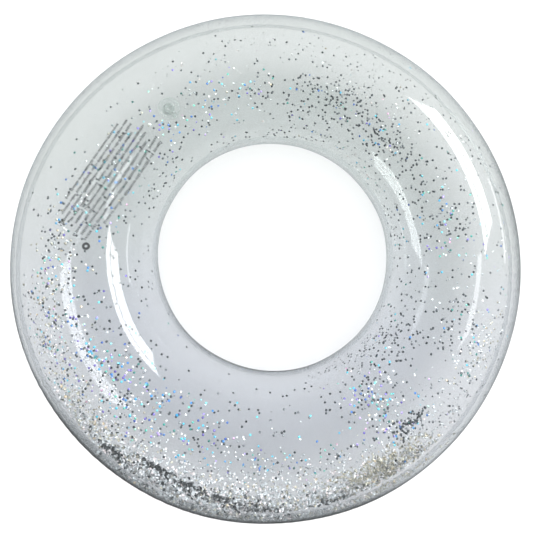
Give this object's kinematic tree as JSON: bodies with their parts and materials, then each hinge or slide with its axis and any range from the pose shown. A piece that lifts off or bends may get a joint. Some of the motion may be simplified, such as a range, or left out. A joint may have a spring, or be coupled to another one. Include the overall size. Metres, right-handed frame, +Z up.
{
  "type": "inflatable swim ring",
  "caption": "Clear inflatable swim ring filled with loose and clinging glitter, with a push-in inflation valve, plug and check flap.",
  "frame": {"origin": "on the ring's axis, at the height of the surface the ring lies on", "axes": "+Z up along the ring's axis, on the valve's side; the valve is at 130.3 degrees anticlockwise from +X and the loose glitter lies towards -Y"},
  "size_m": [0.698, 0.698, 0.1856],
  "materials": {
    "clear_vinyl": "clear soft vinyl sheet, glossy, with a faint cool grey cast",
    "valve_vinyl": "clear moulded soft vinyl, glossy, a little cloudy where it is thick",
    "print_ink": "thin grey screen-printed ink",
    "dark_film": "dark holographic polyester film",
    "silver_film": "silver holographic polyester film",
    "blue_film": "pale blue iridescent polyester film",
    "violet_film": "violet iridescent polyester film",
    "green_film": "green iridescent polyester film",
    "gold_film": "pale gold iridescent polyester film"
  },
  "bodies": {
    "float": {"upper_panel": "clear_vinyl", "lower_panel": "clear_vinyl", "valve_flange": "valve_vinyl", "dark_glitter": "dark_film", "silver_glitter": "silver_film", "blue_glitter": "blue_film", "violet_glitter": "violet_film", "green_glitter": "green_film", "gold_glitter": "gold_film"},
    "stem": {"valve_stem": "valve_vinyl", "strap_lower_leaf": "valve_vinyl"},
    "plug": {"valve_plug": "valve_vinyl", "strap_upper_leaf": "valve_vinyl"},
    "flap": {"check_flap": "valve_vinyl"},
    "loose_glitter": {"loose_silver_glitter": "silver_film", "loose_gold_glitter": "gold_film", "loose_dark_glitter": "dark_film"}
  },
  "joints": [
    {"name": "stem_pull", "type": "slide", "parent": "float", "child": "stem", "axis": [0.2233, -0.2633, 0.9385], "range_m": [0, 0.014]},
    {"name": "plug_swing", "type": "hinge", "parent": "stem", "child": "plug", "pos_m": [-0.13543, 0.1597, 0.1769], "axis": [0.7627, 0.6468, 0], "range_deg": [0, 150]},
    {"name": "flap_swing", "type": "hinge", "parent": "stem", "child": "flap", "pos_m": [-0.14609, 0.17227, 0.15888], "axis": [-0.7627, -0.6468, 0], "range_deg": [0, 70], "stiffness_Nm_per_rad": 0.0001, "springref_deg": -11.46},
    {"name": "glitter_drift", "type": "hinge", "parent": "float", "child": "loose_glitter", "pos_m": [0, 0, 0.0925], "axis": [0, 0, 1], "continuous": true}
  ]
}
